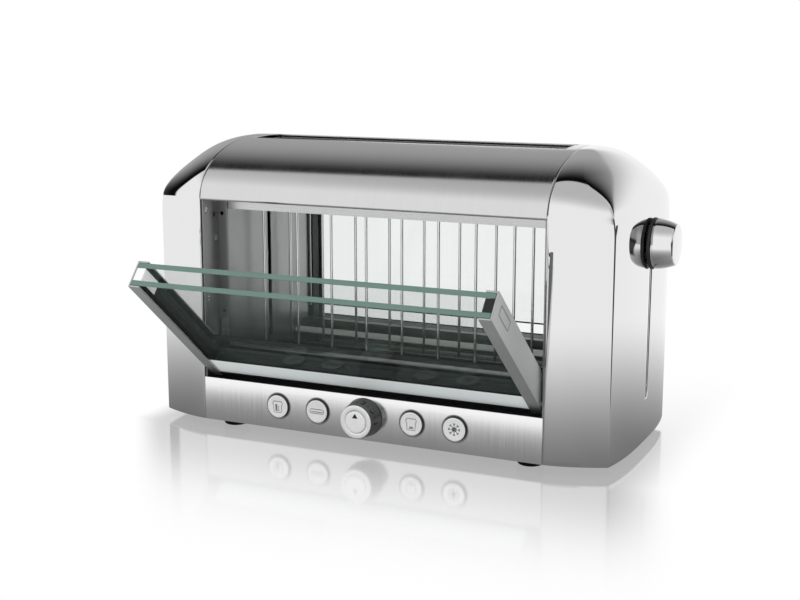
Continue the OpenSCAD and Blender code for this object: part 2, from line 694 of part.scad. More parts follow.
top_hood();
slot_collar();
left_end_cap();
right_end_cap();
front_panel();
rear_panel();
window_sills();
base_plate();
left_inner_wall();
right_inner_wall();
left_jambs();
right_jambs();
front_lintel();
rear_lintel();
front_lower_frame();
rear_lower_frame();
front_guide_wires();
rear_guide_wires();
quartz_tubes();
tube_holders();
lower_reflectors();
upper_reflectors();
jamb_screws();
stay_lugs();
feet();
foot_screws();
guide_rod();
guide_rod_bracket();
hold_magnet();
control_board();
button_switches();
dial_encoder();
power_board();
cord_gland();
front_window_left_rail();
front_window_right_rail();
front_window_outer_pane();
front_window_inner_pane();
front_window_strip();
front_window_liners();
front_window_pins();
rear_window_left_rail();
rear_window_right_rail();
rear_window_outer_pane();
rear_window_inner_pane();
rear_window_strip();
rear_window_liners();
rear_window_pins();
lever_knob();
knob_collar();
lift_carriage();
bread_rack();
lift_spring();
bread_button();
bagel_button();
gluten_free_button();
defrost_button();
dial();
stop_button();
crumb_tray();
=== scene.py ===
import math
import bmesh
import bpy
import numpy as np
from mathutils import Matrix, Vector
from mathutils.geometry import tessellate_polygon


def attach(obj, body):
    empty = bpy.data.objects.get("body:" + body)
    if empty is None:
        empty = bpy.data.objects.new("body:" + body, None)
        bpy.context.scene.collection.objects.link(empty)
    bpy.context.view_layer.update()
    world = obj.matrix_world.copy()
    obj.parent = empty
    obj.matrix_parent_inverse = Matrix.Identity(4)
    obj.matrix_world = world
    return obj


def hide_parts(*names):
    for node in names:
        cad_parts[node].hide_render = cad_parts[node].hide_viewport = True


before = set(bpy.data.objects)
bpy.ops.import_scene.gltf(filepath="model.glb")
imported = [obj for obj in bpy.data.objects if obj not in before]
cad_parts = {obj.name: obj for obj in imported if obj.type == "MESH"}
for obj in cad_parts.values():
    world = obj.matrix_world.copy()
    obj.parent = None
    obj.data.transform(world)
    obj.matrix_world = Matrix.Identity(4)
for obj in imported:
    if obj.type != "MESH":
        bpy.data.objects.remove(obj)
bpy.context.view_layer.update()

# Sizes are in millimetres, and make() turns them into metres
mm = 0.001
sharpAngle = 40
body = {"halfW": 86.0, "halfB": 137.5, "archZ": 177.0, "archH": 43.5, "bulge": 2.1, "footH": 6.5}


# Shader maths: a number or socket in a node tree, with arithmetic that adds math nodes
class Num:
    def __init__(self, tree, out):
        self.tree = tree
        self.out = out

    def node(self, kind, ins=(), out=0, **props):
        n = self.tree.nodes.new(kind)
        for key, value in props.items():
            setattr(n, key, value)
        for key, value in dict(ins).items():
            if isinstance(value, Num):
                self.tree.links.new(value.out, n.inputs[key])
            else:
                n.inputs[key].default_value = value
        return Num(self.tree, n.outputs[out])

    def calc(self, op, a, b=0.0):
        return self.node("ShaderNodeMath", {0: a, 1: b}, operation=op)

    def __add__(self, other):
        return self.calc("ADD", self, other)

    def __radd__(self, other):
        return self.calc("ADD", other, self)

    def __sub__(self, other):
        return self.calc("SUBTRACT", self, other)

    def __rsub__(self, other):
        return self.calc("SUBTRACT", other, self)

    def __mul__(self, other):
        return self.calc("MULTIPLY", self, other)

    def __rmul__(self, other):
        return self.calc("MULTIPLY", other, self)

    def power(self, other):
        return self.calc("POWER", self, other)

    def absolute(self):
        return self.calc("ABSOLUTE", self)

    def atLeast(self, other):
        return self.calc("MAXIMUM", self, other)

    # Smooth ramp from a to b while the value goes from lo to hi
    def step(self, lo, hi, a=0.0, b=1.0):
        ins = {0: self, 1: lo, 2: hi, 3: a, 4: b}
        return self.node("ShaderNodeMapRange", ins, interpolation_type="SMOOTHSTEP")

    # Colour a where the value is 0 and colour b where it is 1
    def mix(self, a, b):
        pick = lambda c: c if isinstance(c, Num) else (*c, 1.0)
        return self.node("ShaderNodeMix", {0: self, 6: pick(a), 7: pick(b)}, out=2, data_type="RGBA")

    # The three parts of a vector
    def split(self):
        sep = self.tree.nodes.new("ShaderNodeSeparateXYZ")
        self.tree.links.new(self.out, sep.inputs[0])
        return [Num(self.tree, sep.outputs[i]) for i in range(3)]

    # The same value in red, green and blue
    def asGray(self):
        return self.node("ShaderNodeCombineColor", {0: self, 1: self, 2: self})

    def toOutput(self, kind="ShaderNodeOutputMaterial"):
        end = self.tree.nodes.new(kind)
        self.tree.links.new(self.out, end.inputs[0])


def newTree(name):
    m = bpy.data.materials.new(name)
    m.use_nodes = True
    m.node_tree.nodes.clear()
    return m, Num(m.node_tree, None)


def objectPoint(k):
    return k.node("ShaderNodeTexCoord", out=3)


def objectNoise(k, scale, stretch=(1, 1, 1), detail=3.0, rough=0.55):
    place = k.node("ShaderNodeMapping", {0: objectPoint(k), 3: [s * scale for s in stretch]})
    ins = {"Vector": place, "Scale": 1.0, "Detail": detail, "Roughness": rough}
    return k.node("ShaderNodeTexNoise", ins, out=0)


# One procedural surface: grain in the colour, smudges in the roughness and a fine bump.
# With bow, the sheet leans back by bow times the squared height above its foot.
def surface(name, color, rough, metal=0.0, grain=None, grainGain=0.0, smudge=0.0, wear=0.0,
            bump=0.0, grainScale=900.0, bow=0.0, spec=0.5):
    m, k = newTree(name)
    cloud = objectNoise(k, 38.0, detail=4.0)
    fine = objectNoise(k, grainScale, grain or (1, 1, 1), detail=5.0, rough=0.65)
    tone = (fine - 0.5) * grainGain + (cloud - 0.5) * wear + 1.0
    base = k.node("ShaderNodeVectorMath", {0: list(color), "Scale": tone}, operation="SCALE")
    r = (fine - 0.5) * (grainGain * 0.8) + cloud.step(0.42, 0.72, 0.0, smudge) + rough
    ins = {"Base Color": base, "Roughness": r, "Metallic": metal, "Specular IOR Level": spec}
    if bump:
        height = fine * (0.00004 * bump)
        if bow:
            rise = objectPoint(k).split()[2] - 0.008
            height = height - rise * rise * bow
        ins["Normal"] = k.node("ShaderNodeBump", {"Strength": 1.0, "Distance": 1.0, "Height": height})
    k.node("ShaderNodeBsdfPrincipled", ins).toOutput()
    return m


def gray(v):
    return (v, v, v)


alongArc = (6.0, 0.05, 0.05)
acrossX = (0.05, 6.0, 6.0)
alongZ = (6.0, 6.0, 0.05)

# For each finish: colour, roughness, metal, direction and strength of the grain, smudges, wear,
# bump, scale of the grain, bow and mirror strength
finishes = {
    "brushed": (gray(0.68), 0.15, 1.0, alongArc, 0.16, 0.02, 0.03, 0.25, 420.0),
    "panel": (gray(0.93), 0.14, 1.0, alongArc, 0.26, 0.02, 0.03, 0.3, 420.0, 2.0),
    "lintel": (gray(0.60), 0.26, 1.0, acrossX, 0.12, 0.03, 0.03, 0.15, 420.0),
    "chrome": (gray(0.80), 0.02, 1.0, None, 0.0, 0.012, 0.0),
    "innerWall": (gray(0.36), 0.32, 1.0, alongZ, 0.25, 0.08, 0.12, 0.15, 500.0),
    "jambMetal": (gray(0.32), 0.36, 1.0, alongZ, 0.2, 0.06, 0.1, 0.12, 500.0),
    "lowerFrame": ((0.20, 0.21, 0.21), 0.3, 1.0, acrossX, 0.2, 0.06, 0.1, 0.12, 500.0),
    "slotMetal": (gray(0.45), 0.28, 1.0, acrossX, 0.3, 0.05, 0.06, 0.2, 500.0),
    "black": ((0.012, 0.012, 0.013), 0.42, 0.0, None, 0.0, 0.08, 0.2, 0.5, 1800.0),
    "rubber": (gray(0.006), 0.7, 0.0, None, 0.0, 0.1, 0.25, 0.7, 2200.0, 0.0, 0.08),
    "wire": ((0.92, 0.92, 0.91), 0.2, 1.0, alongZ, 0.25, 0.06, 0.1, 0.1, 700.0),
    "wireDark": ((0.16, 0.17, 0.16), 0.4, 1.0, None, 0.1, 0.06, 0.1, 0.1, 700.0),
    "rail": ((0.66, 0.67, 0.67), 0.36, 1.0, alongZ, 0.18, 0.05, 0.05, 0.25, 700.0),
    "railInside": ((0.010, 0.011, 0.011), 0.55, 0.0, None, 0.0, 0.05, 0.1, 0.2),
    # painted reflection: near-white for the block that closes the top of the left liner
    "paintedReflectionBlock": (gray(0.95), 0.5, 0.0, None, 0.0, 0.05, 0.02, 0.1),
    "strip": ((0.80, 0.85, 0.85), 0.5, 0.0, acrossX, 0.06, 0.05, 0.03, 0.2, 500.0),
    "stripBack": ((0.016, 0.024, 0.021), 0.35, 0.0, acrossX, 0.1, 0.1, 0.05, 0.2, 500.0),
    "button": (gray(0.90), 0.35, 0.3, None, 0.1, 0.05, 0.04, 0.15, 900.0),
    "dial": (gray(0.90), 0.3, 0.4, None, 0.1, 0.05, 0.04, 0.15, 900.0),
    # painted shade: a darker copy of the dial and button metal, for their sides
    "paintedShadeSide": (gray(0.19), 0.34, 1.0, None, 0.1, 0.06, 0.05, 0.15, 900.0),
    "ink": ((0.012, 0.012, 0.013), 0.5, 0.0, None, 0.0, 0.05, 0.2, 0.2),
    "knob": (gray(0.81), 0.03, 1.0, None, 0.0, 0.015, 0.0),
    "screw": ((0.62, 0.62, 0.61), 0.24, 1.0, None, 0.1, 0.06, 0.1, 0.15),
    "bracket": ((0.36, 0.36, 0.35), 0.36, 1.0, alongZ, 0.2, 0.08, 0.15, 0.2, 500.0),
    "quartz": ((0.80, 0.80, 0.76), 0.25, 0.0, acrossX, 0.15, 0.08, 0.1, 0.1),
    "ceramic": ((0.72, 0.69, 0.6), 0.4, 0.0, None, 0.0, 0.1, 0.1, 0.2),
    "reflector": ((0.75, 0.75, 0.74), 0.12, 1.0, acrossX, 0.2, 0.05, 0.08, 0.1, 400.0),
    "circuit": ((0.02, 0.12, 0.06), 0.35, 0.0, None, 0.0, 0.1, 0.2, 0.3),
    "spring": (gray(0.6), 0.25, 1.0, None, 0.1, 0.06, 0.1, 0.1),
    "tray": (gray(0.60), 0.28, 1.0, acrossX, 0.4, 0.05, 0.06, 0.25, 420.0),
    "glassEdge": ((0.13, 0.22, 0.19), 0.12, 0.0, acrossX, 0.25, 0.05, 0.2, 0.1, 300.0, 0.0, 0.6),
}


# Clear sheet glass: see-through with a green tint, and a mirror part that grows at grazing angles.
# Its share is 0.04 head-on and rises with the fifth power of one minus the cosine.
def glassMaterial():
    m, k = newTree("glassFace")
    facing = k.node("ShaderNodeLayerWeight", {"Blend": 0.5}, out=1).power(5.0) * 0.96 + 0.04
    haze = objectNoise(k, 30.0, detail=3.0)
    clear = k.node("ShaderNodeBsdfTransparent", {0: (0.990, 0.995, 0.9935, 1)})
    shine = k.node("ShaderNodeBsdfPrincipled", {"Base Color": (0.26, 0.36, 0.32, 1), "Metallic": 1.0,
                                               "Roughness": haze.step(0.45, 0.8, 0.015, 0.05)})
    k.node("ShaderNodeMixShader", {0: facing, 1: clear, 2: shine}).toOutput()
    return m


mats = {name: surface(name, *values) for name, values in finishes.items()}
mats["glass"] = glassMaterial()
print("materials ready")


# Collects the vertices, faces and material numbers of one piece, in millimetres
class Shape:
    def __init__(self):
        self.v = []
        self.f = []
        self.m = []

    def add(self, verts, faces, mat=0):
        base = len(self.v)
        self.v += [tuple(map(float, p)) for p in verts]
        self.f += [tuple(i + base for i in face) for face in faces]
        self.m += [mat] * len(faces)
        return self

    # Quads over rows of points; closedU joins the last row to the first, closedV each row's ends
    def grid(self, rows, closedU=False, closedV=False, mat=0, skip=None):
        rows = [list(r) for r in rows]
        nu, nv = len(rows), len(rows[0])
        faces = []
        for i in range(nu if closedU else nu - 1):
            for j in range(nv if closedV else nv - 1):
                if skip and skip(i, j):
                    continue
                a, b = i * nv + j, i * nv + (j + 1) % nv
                c, d = ((i + 1) % nu) * nv + (j + 1) % nv, ((i + 1) % nu) * nv + j
                faces.append((a, b, c, d))
        return self.add([p for r in rows for p in r], faces, mat)

    # Turned piece: profile is a list of (radius, height), and place(x, y, h) gives its place.
    # A profile that starts or ends at radius 0 is closed there by a fan.
    def lathe(self, profile, place, n=64, mat=0):
        ang = [2 * math.pi * j / n for j in range(n)]
        rows = [[place(r * math.cos(a), r * math.sin(a), h) for a in ang] for r, h in profile if r > 1e-6]
        self.grid(rows, closedV=True, mat=mat)
        base = len(self.v) - len(rows) * n
        top = base + (len(rows) - 1) * n
        for (radius, height), first, turn in ((profile[0], base, -1), (profile[-1], top, 1)):
            if radius <= 1e-6:
                self.v.append(tuple(place(0, 0, height)))
                c = len(self.v) - 1
                self.f += [(c, first + j, first + (j + 1) % n)[::turn] for j in range(n)]
                self.m += [mat] * n
        return self

    # Round wire along a path; each ring is turned from the one before by the least angle
    def tube(self, path, radius, sides=12, mat=0):
        pts = [Vector(p) for p in path]
        rows = []
        side = None
        for i, p in enumerate(pts):
            tangent = (pts[min(i + 1, len(pts) - 1)] - pts[max(i - 1, 0)]).normalized()
            if side is None:
                side = tangent.orthogonal().normalized()
            side = (side - tangent * side.dot(tangent)).normalized()
            other = tangent.cross(side)
            rows.append([p + (side * math.cos(w) + other * math.sin(w)) * radius
                         for w in [2 * math.pi * j / sides for j in range(sides)]])
        rows = [[pts[0]] * sides] + rows + [[pts[-1]] * sides]
        return self.grid(rows, closedV=True, mat=mat)

    # Flat piece between heights a and b: loops[0] runs anticlockwise round the outline, the others
    # clockwise round holes. Its edges are rounded by stepping each loop inwards along a quarter circle.
    def slab(self, loops, a, b, place, bevel=0.3, steps=2, mat=0, endMat=None):
        endMat = mat if endMat is None else endMat
        levels = [(bevel * (1 - math.sin(q)), a + bevel * (1 - math.cos(q)))
                  for q in [math.pi / 2 * i / steps for i in range(steps + 1)]]
        levels += [(d, b - (h - a)) for d, h in reversed(levels)]
        caps = [[], []]
        for loop in loops:
            rows = [[place(*uv, h) for uv in inset(loop, d)] for d, h in levels]
            base = len(self.v)
            self.grid(rows, closedV=True, mat=mat)
            count = len(loop)
            caps[0].append([base + j for j in range(count)])
            caps[1].append([base + (len(rows) - 1) * count + j for j in range(count)])
        for end, ids in enumerate(caps):
            flat = [[Vector((*uv, 0)) for uv in inset(loop, bevel)] for loop in loops]
            corners = [p for f in flat for p in f]
            lookup = [i for group in ids for i in group]
            for tri in tessellate_polygon(flat):
                p, q, r = [corners[i] for i in tri]
                turn = (q[0] - p[0]) * (r[1] - p[1]) - (q[1] - p[1]) * (r[0] - p[0])
                tri = tri if (turn > 0) == (end == 1) else tri[::-1]
                self.f.append(tuple(lookup[i] for i in tri))
                self.m.append(endMat)
        return self

    # Turns the shape into an object that rides on a body and stands for a CAD node.
    # Edges that turn by more than sharpAngle stay sharp.
    def make(self, name, rides, node, slotName, materials, fix=None, weighted=True, solid=0.0):
        co = np.array(self.v, dtype=float)
        if fix is not None:
            co = fix(co)
        mesh = bpy.data.meshes.new(name)
        mesh.from_pydata((co * mm).tolist(), [], self.f)
        for key in materials:
            mesh.materials.append(mats[key])
        mesh.polygons.foreach_set("material_index", np.array(self.m, dtype=np.int32))
        mesh.polygons.foreach_set("use_smooth", np.ones(len(self.f), dtype=bool))
        mesh.validate()
        bm = bmesh.new()
        bm.from_mesh(mesh)
        bmesh.ops.remove_doubles(bm, verts=bm.verts, dist=0.000002)
        bmesh.ops.recalc_face_normals(bm, faces=bm.faces)
        for e in bm.edges:
            if e.calc_face_angle(0.0) > math.radians(sharpAngle):
                e.smooth = False
        bm.to_mesh(mesh)
        bm.free()
        obj = bpy.data.objects.new(name, mesh)
        bpy.context.scene.collection.objects.link(obj)
        if solid:
            wall = obj.modifiers.new("wall", "SOLIDIFY")
            wall.thickness = solid * mm
            wall.offset = -1.0
            wall.use_even_offset = False
        if weighted:
            normals = obj.modifiers.new("normals", "WEIGHTED_NORMAL")
            normals.keep_sharp = True
        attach(obj, rides)
        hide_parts(node)
        return obj


# Moves each corner of a loop inwards so that every side shifts by d
def inset(loop, d):
    if d <= 0:
        return loop
    p = np.array(loop, dtype=float)
    prev = np.roll(p, 1, 0)
    nxt = np.roll(p, -1, 0)
    e1 = p - prev
    e2 = nxt - p
    e1 /= np.linalg.norm(e1, axis=1)[:, None] + 1e-12
    e2 /= np.linalg.norm(e2, axis=1)[:, None] + 1e-12
    n1 = np.stack([-e1[:, 1], e1[:, 0]], 1)
    n2 = np.stack([-e2[:, 1], e2[:, 0]], 1)
    k = 1 + (n1 * n2).sum(1)
    return [tuple(q) for q in p + d * (n1 + n2) / np.maximum(k, 0.3)[:, None]]


# Points on a circle from angle a0 to angle a1, in degrees
def arcPts(cx, cy, r, a0, a1, n=12):
    return [(cx + r * math.cos(math.radians(a)), cy + r * math.sin(math.radians(a)))
            for a in np.linspace(a0, a1, n + 1)]


# Rectangle, anticlockwise, with round corners of radius r
def rect(x0, y0, x1, y1, r=0.0, n=4):
    if r <= 0:
        return [(x0, y0), (x1, y0), (x1, y1), (x0, y1)]
    corners = [(x1 - r, y0 + r, -90), (x1 - r, y1 - r, 0), (x0 + r, y1 - r, 90), (x0 + r, y0 + r, 180)]
    return [p for cx, cy, a in corners for p in arcPts(cx, cy, r, a, a + 90, n)]


# Rectangle, clockwise, for a hole
def hole(x0, y0, x1, y1):
    return [(x0, y0), (x0, y1), (x1, y1), (x1, y0)]


# Circle, clockwise, for a hole
def ring(cx, cy, r, n=48):
    return arcPts(cx, cy, r, 0, -360, n)[:-1]


# Ways to place a flat drawing (u, v, height) in the object
onFront = lambda u, v, h: (u, -h, v)  # u along X, v up, height towards the front
onBack = lambda u, v, h: (-u, h, v)
alongX = lambda u, v, h: (h, u, v)  # u along Y, v up, height along X
upright = lambda u, v, h: (u, v, h)
mirrorX = lambda co: co * np.array([-1, 1, 1])
mirrorY = lambda co: co * np.array([1, -1, 1])


# Adds the shape's mirror image to itself
def both(shape, axis):
    flip = {"x": (-1, 1, 1), "y": (1, -1, 1)}[axis]
    base = len(shape.v)
    shape.v += [tuple(c * s for c, s in zip(p, flip)) for p in shape.v[:base]]
    shape.f += [tuple(base + i for i in reversed(f)) for f in shape.f]
    shape.m += shape.m
    return shape


# Share of the half width at height z: a slightly squared arch above archZ
def shareY(z):
    u = np.clip((z - body["archZ"]) / body["archH"], 0, 1)
    return (1 - u ** body["bulge"]) ** (1 / body["bulge"])


# Share of an end cap's length at height z: a quarter ellipse that begins at domeZ
def shareX(z):
    u = np.clip((z - capSettings["domeZ"]) / capSettings["domeH"], 0, 1)
    return np.sqrt(1 - u ** 2)


hoodSettings = {"x": 137.3, "slotX": 127.7, "slotY": 20.65, "sheet": 1.2, "edgeDrop": 0.35}


# Brushed arch: the height over y is archZ plus the squared arch, and the bread slot is left open
def hood():
    h = hoodSettings
    half = -body["halfW"] * np.cos(np.linspace(0, math.acos(h["slotY"] / body["halfW"]), 40))
    ys = np.concatenate([half, [-10, 0, 10], -half[::-1]])
    across = np.minimum(1, np.abs(ys) / body["halfW"])
    zs = body["archZ"] + body["archH"] * (1 - across ** body["bulge"]) ** (1 / body["bulge"])
    right = np.concatenate([np.linspace(h["slotX"], 136, 4), [h["x"] - 0.5, h["x"]]])
    xs = np.concatenate([-right[::-1], np.linspace(-120, 120, 17), right])
    rows = []
    for x in xs:
        drop = h["edgeDrop"] if abs(x) == h["x"] else 0.0
        rows.append([(x, y * (1 - drop / body["halfW"]), z - drop * 0.6) for y, z in zip(ys, zs)])
    isHole = lambda i, j: abs(xs[i] + xs[i + 1]) < 2 * h["slotX"] and abs(ys[j] + ys[j + 1]) < 2 * h["slotY"]
    Shape().grid(rows, skip=isHole).make("topHood", "chassis", "top_hood", "brushed_steel", ["brushed"],
                                         weighted=False, solid=h["sheet"])


capSettings = {"length": 49.0, "cornerX": 5.5, "cornerY": 13.0, "crease": 0.9, "wall": 1.6,
               "domeZ": 165.0, "domeH": 55.5, "blendZ": (178.0, 212.0), "blend": 0.6, "softCut": 24.0,
               "slotZ": (39.5, 160.5), "slotY": 2.2, "sideSteps": 26}


# Half of the cap's outline at height z, from the seam at the front to the middle of the end.
# The upright part has two bowed faces that meet in a crease; higher up, the outline blends into
# a quarter ellipse and the crease turns into a wide curve.
def capPlan(z):
    c = capSettings
    l = c["length"]
    n = c["sideSteps"]
    w = body["halfW"]
    b = float(np.clip((z - c["blendZ"][0]) / (c["blendZ"][1] - c["blendZ"][0]), 0, 1))
    b = c["blend"] * b * b * (3 - 2 * b)
    u = np.linspace(0, 1, 241)
    side = np.stack([(l - c["cornerX"]) * u, -(w - c["cornerY"] * u ** 1.6)], 1)
    end = np.stack([l - c["cornerX"] * (1 - u) ** 3, -(w - c["cornerY"]) * (1 - u)], 1)
    p = np.concatenate([side, end[1:]])
    angle = math.pi / 2 * np.linspace(0, 1, len(p))
    p = (1 - b) * p + b * np.stack([l * np.sin(angle), -w * np.cos(angle)], 1)
    p = p * [float(shareX(z)), float(shareY(z))]
    along = np.concatenate([[0], np.cumsum(np.linalg.norm(np.diff(p, axis=0), axis=1))])
    corner = along[240]
    rest = along[-1] - corner
    cut = min(c["crease"] + c["softCut"] * b, 0.42 * corner + 0.01, 0.42 * rest + 0.01)
    at = lambda q: np.array([np.interp(q, along, p[:, 0]), np.interp(q, along, p[:, 1])])
    a, k, e = at(corner - cut), at(corner), at(corner + cut)
    turn = [(1 - q) ** 2 * a + 2 * q * (1 - q) * k + q * q * e for q in np.linspace(0, 1, 9)]
    first = [at(q) for q in (corner - cut) * np.linspace(0, 1, n)[:-1]]
    last = [at(corner + cut + (rest - cut) * q) for q in np.linspace(0, 1, n)[1:]]
    return np.array(first + turn + last)


# The cap's outline at each height; the right cap leaves the two columns at its middle open
# where the lever's slot is
def endCap(name, node, sign):
    c = capSettings
    low, high = c["slotZ"]
    top = body["archZ"] + body["archH"]
    dome = c["domeZ"] + (c["domeH"] - 0.1) * np.sin(np.linspace(0.02, math.pi / 2, 40))[:-1]
    foot = body["footH"]
    zs = np.concatenate([[foot, foot + 0.5], np.linspace(10, 38, 5), [low], np.linspace(50, 155, 12), [high],
                         dome, [top - 0.1]])
    rows = []
    for z in zs:
        half = capPlan(z)
        if sign > 0 and z < 175:
            half[-2] = [half[-2][0], -c["slotY"]]
        lip = 0.4 if z == foot else 0.0
        full = np.concatenate([half, half[:-1][::-1] * [1, -1]])
        rows.append([(body["halfB"] + x * (1 - lip / 50), y * (1 - lip / body["halfW"]), z) for x, y in full])
    rows.append([(body["halfB"], 0.0, top - 0.05)] * len(rows[0]))
    mid = len(capPlan(100)) - 1
    lo, hi = list(zs).index(low), list(zs).index(high)
    isSlot = lambda i, j: sign > 0 and lo <= i < hi and j in (mid - 1, mid)
    Shape().grid(rows, skip=isSlot).make(name, "chassis", node, "chrome_caps", ["chrome"],
                                         fix=mirrorX if sign < 0 else None, weighted=False, solid=c["wall"])


hood()
endCap("rightEndCap", "right_end_cap", 1)
endCap("leftEndCap", "left_end_cap", -1)
print("outer form ready")

panel = {"x": 137.2, "z0": 6.5, "z1": 40.0, "y": (84.8, 86.0), "trayX": 117.5, "trayZ": (7.8, 24.9),
         "gland": (128.0, 18.0, 6.1)}
controls = {"z": 24.2, "buttonR": 8.9, "buttonX": (-72.0, -38.5, 38.5, 72.0), "dialR": 14.5,
            "dialFaceR": 12.4, "dialL": 14.0, "dialHole": 12.5, "stopR": 8.2}


# Front sheet with its button holes, rear sheet with the openings of the tray and the cord, and the
# rings round the buttons
def panels():
    p, c = panel, controls
    sheet = rect(-p["x"], p["z0"], p["x"], p["z1"])
    holes = [ring(x, c["z"], c["buttonR"] + 0.6) for x in c["buttonX"]] + [ring(0, c["z"], c["dialHole"])]
    front = Shape().slab([sheet] + holes, *p["y"], onFront, 0.3, 3)
    front.make("frontPanel", "chassis", "front_panel", "brushed_steel", ["panel"])
    tray = hole(-p["trayX"], p["trayZ"][0], p["trayX"], p["trayZ"][1])
    rear = Shape().slab([sheet, tray, ring(*p["gland"], 32)], *p["y"], onBack, 0.25, 2)
    rear.make("rearPanel", "chassis", "rear_panel", "brushed_steel", ["panel"])
    rings = Shape()
    edge = [(9.0, -0.9), (9.1, -0.05), (9.6, 0.12), (10.3, 0.1), (10.45, -0.02), (10.45, -0.4), (9.0, -0.9)]
    for x in c["buttonX"]:
        rings.lathe(edge, lambda u, v, h, x=x: (x + u, -body["halfW"] - h, c["z"] + v), 64)
    rings.make("buttonRings", "chassis", "button_switches", "circuit", ["bracket"])


def sills():
    s = Shape()
    ledge = [(-84.4, 34.2), (-62.1, 34.2), (-62.1, 38.6), (-83.6, 38.6), (-84.4, 38.0)]
    s.slab([ledge], -135.6, 135.6, alongX, 0.3, 2)
    both(s, "y").make("windowSills", "chassis", "window_sills", "black_trim", ["black"])


chamber = {"wallX": (128.5, 130.0), "wallY": 61.6, "wallZ": (8.2, 190.0), "slotY": 2.6,
           "slotZ": (56.0, 178.0), "jambX": (136.05, 137.2), "jambY": (62.0, 63.2), "openZ": (34.1, 176.6),
           "frameX": 128.2}


# End walls of the bread chamber, each with the slot that the rack slides in
def innerWalls():
    c = chamber
    slotHole = hole(-c["slotY"], c["slotZ"][0], c["slotY"], c["slotZ"][1])
    wall = rect(-c["wallY"], c["wallZ"][0], c["wallY"], c["wallZ"][1])
    right = Shape().slab([wall, slotHole], *c["wallX"], alongX, 0.25, 2)
    for z0 in (92.0, 150.0):
        for y0 in (-40.0, 32.0):
            right.slab([rect(y0, z0, y0 + 8, z0 + 3, 1.2)], 128.1, 128.6, alongX, 0.15, 1)
    right.make("rightInnerWall", "chassis", "right_inner_wall", "inner_metal", ["innerWall"])
    left = Shape().slab([wall, slotHole], *c["wallX"], alongX, 0.25, 2)
    left.make("leftInnerWall", "chassis", "left_inner_wall", "inner_metal", ["innerWall"], fix=mirrorX)


# Jamb screws, seen from the side as (y, z)
jambScrewPlaces = ((-79.8, 169.0), (-67.2, 146.0), (-79.0, 100.0))


# Sides of the window openings, with holes for screws
def jambs():
    c = chamber
    z0, z1 = c["openZ"]
    for name, node, sign in (("rightJambs", "right_jambs", 1), ("leftJambs", "left_jambs", -1)):
        s = Shape()
        holes = [ring(y, z, 2.55, 24) for y, z in jambScrewPlaces] + [ring(-69.5, 163.7, 1.5, 20)]
        s.slab([rect(-84.4, z0, -62.1, z1)] + holes, *c["jambX"], alongX, 0.2, 2)
        s.slab([rect(c["wallX"][0], 40.0, c["jambX"][1], z1), ring(132.8, 164.2, 1.4, 20),
                ring(132.8, 88.0, 1.4, 20)], *c["jambY"], onFront, 0.2, 2)
        both(s, "y").make(name, "chassis", node, "inner_metal", ["jambMetal"],
                          fix=mirrorX if sign < 0 else None)


# Folded sheets above and below the windows, and the liner of the bread slot
def innerFrames():
    x = chamber["frameX"]
    angle = [(-84.5, 177.0), (-61.7, 177.0), (-61.7, 168.0), (-60.2, 168.0), (-60.2, 178.5), (-84.5, 178.5)]
    shelf = rect(-84.5, 176.8, -62.0, 178.3)
    lower = [(-61.7, 8.2), (-60.2, 8.2), (-60.2, 59.5), (-53.2, 59.5), (-53.2, 61.0), (-61.0, 61.0),
             (-61.7, 60.3)]
    sides = (("front", None), ("rear", mirrorY))
    for side, fix in sides:
        s = Shape().slab([angle], -x, x, alongX, 0.25, 2).slab([shelf], -135.9, 135.9, alongX, 0.2, 1)
        s.make(side + "Lintel", "chassis", side + "_lintel", "brushed_steel", ["lintel"], fix=fix)
    for side, fix in sides:
        s = Shape().slab([lower], -x, x, alongX, 0.25, 2)
        s.make(side + "LowerFrame", "chassis", side + "_lower_frame", "inner_metal", ["lowerFrame"], fix=fix)
    collar = [rect(-127.6, -20.55, 127.6, 20.55, 1.2), rect(-126.5, -19.45, 126.5, 19.45, 0.8)[::-1]]
    Shape().slab(collar, 181.6, 217.3, upright, 0.2, 1).make("slotCollar", "chassis", "slot_collar",
                                                             "slot_metal", ["slotMetal"])


wires = {"y": 20.75, "r": 1.1, "pitch": 30.25, "count": 9, "z": (48.0, 180.0), "x": 128.1}


def guideWires():
    w = wires
    for side, sign in (("front", -1), ("rear", 1)):
        y = sign * w["y"]
        s = Shape()
        for i in range(w["count"]):
            x = (i - (w["count"] - 1) / 2) * w["pitch"]
            s.tube([(x, y, z) for z in np.linspace(*w["z"], 16)], w["r"], 16)
        for z in w["z"]:
            s.tube([(x, y, z) for x in np.linspace(-w["x"], w["x"], 20)], w["r"] * 1.3, 14, mat=1)
        s.make(side + "GuideWires", "chassis", side + "_guide_wires", "bright_wire", ["wire", "wireDark"],
               weighted=False)


panels()
sills()
innerWalls()
jambs()
innerFrames()
guideWires()
print("body ready")

# The front window's own sizes, shut; the rear window is its mirror image
window = {"z0": 41.0, "z1": 176.0, "t": 21.0, "railX": 135.5, "railW": 9.0, "wall": 1.3, "paneT": 4.0,
          "pivotY": -81.0, "pivotZ": 49.0, "open": 50.0, "chamferH": 29.0, "chamferD": 11.0,
          "stripH": 18.0, "stripX": 126.0, "printX": 126.5, "paintedReflectionBlock": 20.0,
          "frontWindowPrint": (4.6, 24.0), "rearWindowPrint": (1.5, 17.5)}


# Turns points of the shut front window about its hinge
def opened(co):
    w = window
    a = math.radians(w["open"])
    y = co[:, 1] - w["pivotY"]
    z = co[:, 2] - w["pivotZ"]
    return np.stack([co[:, 0], w["pivotY"] + y * math.cos(a) - z * math.sin(a),
                     w["pivotZ"] + y * math.sin(a) + z * math.cos(a)], 1)
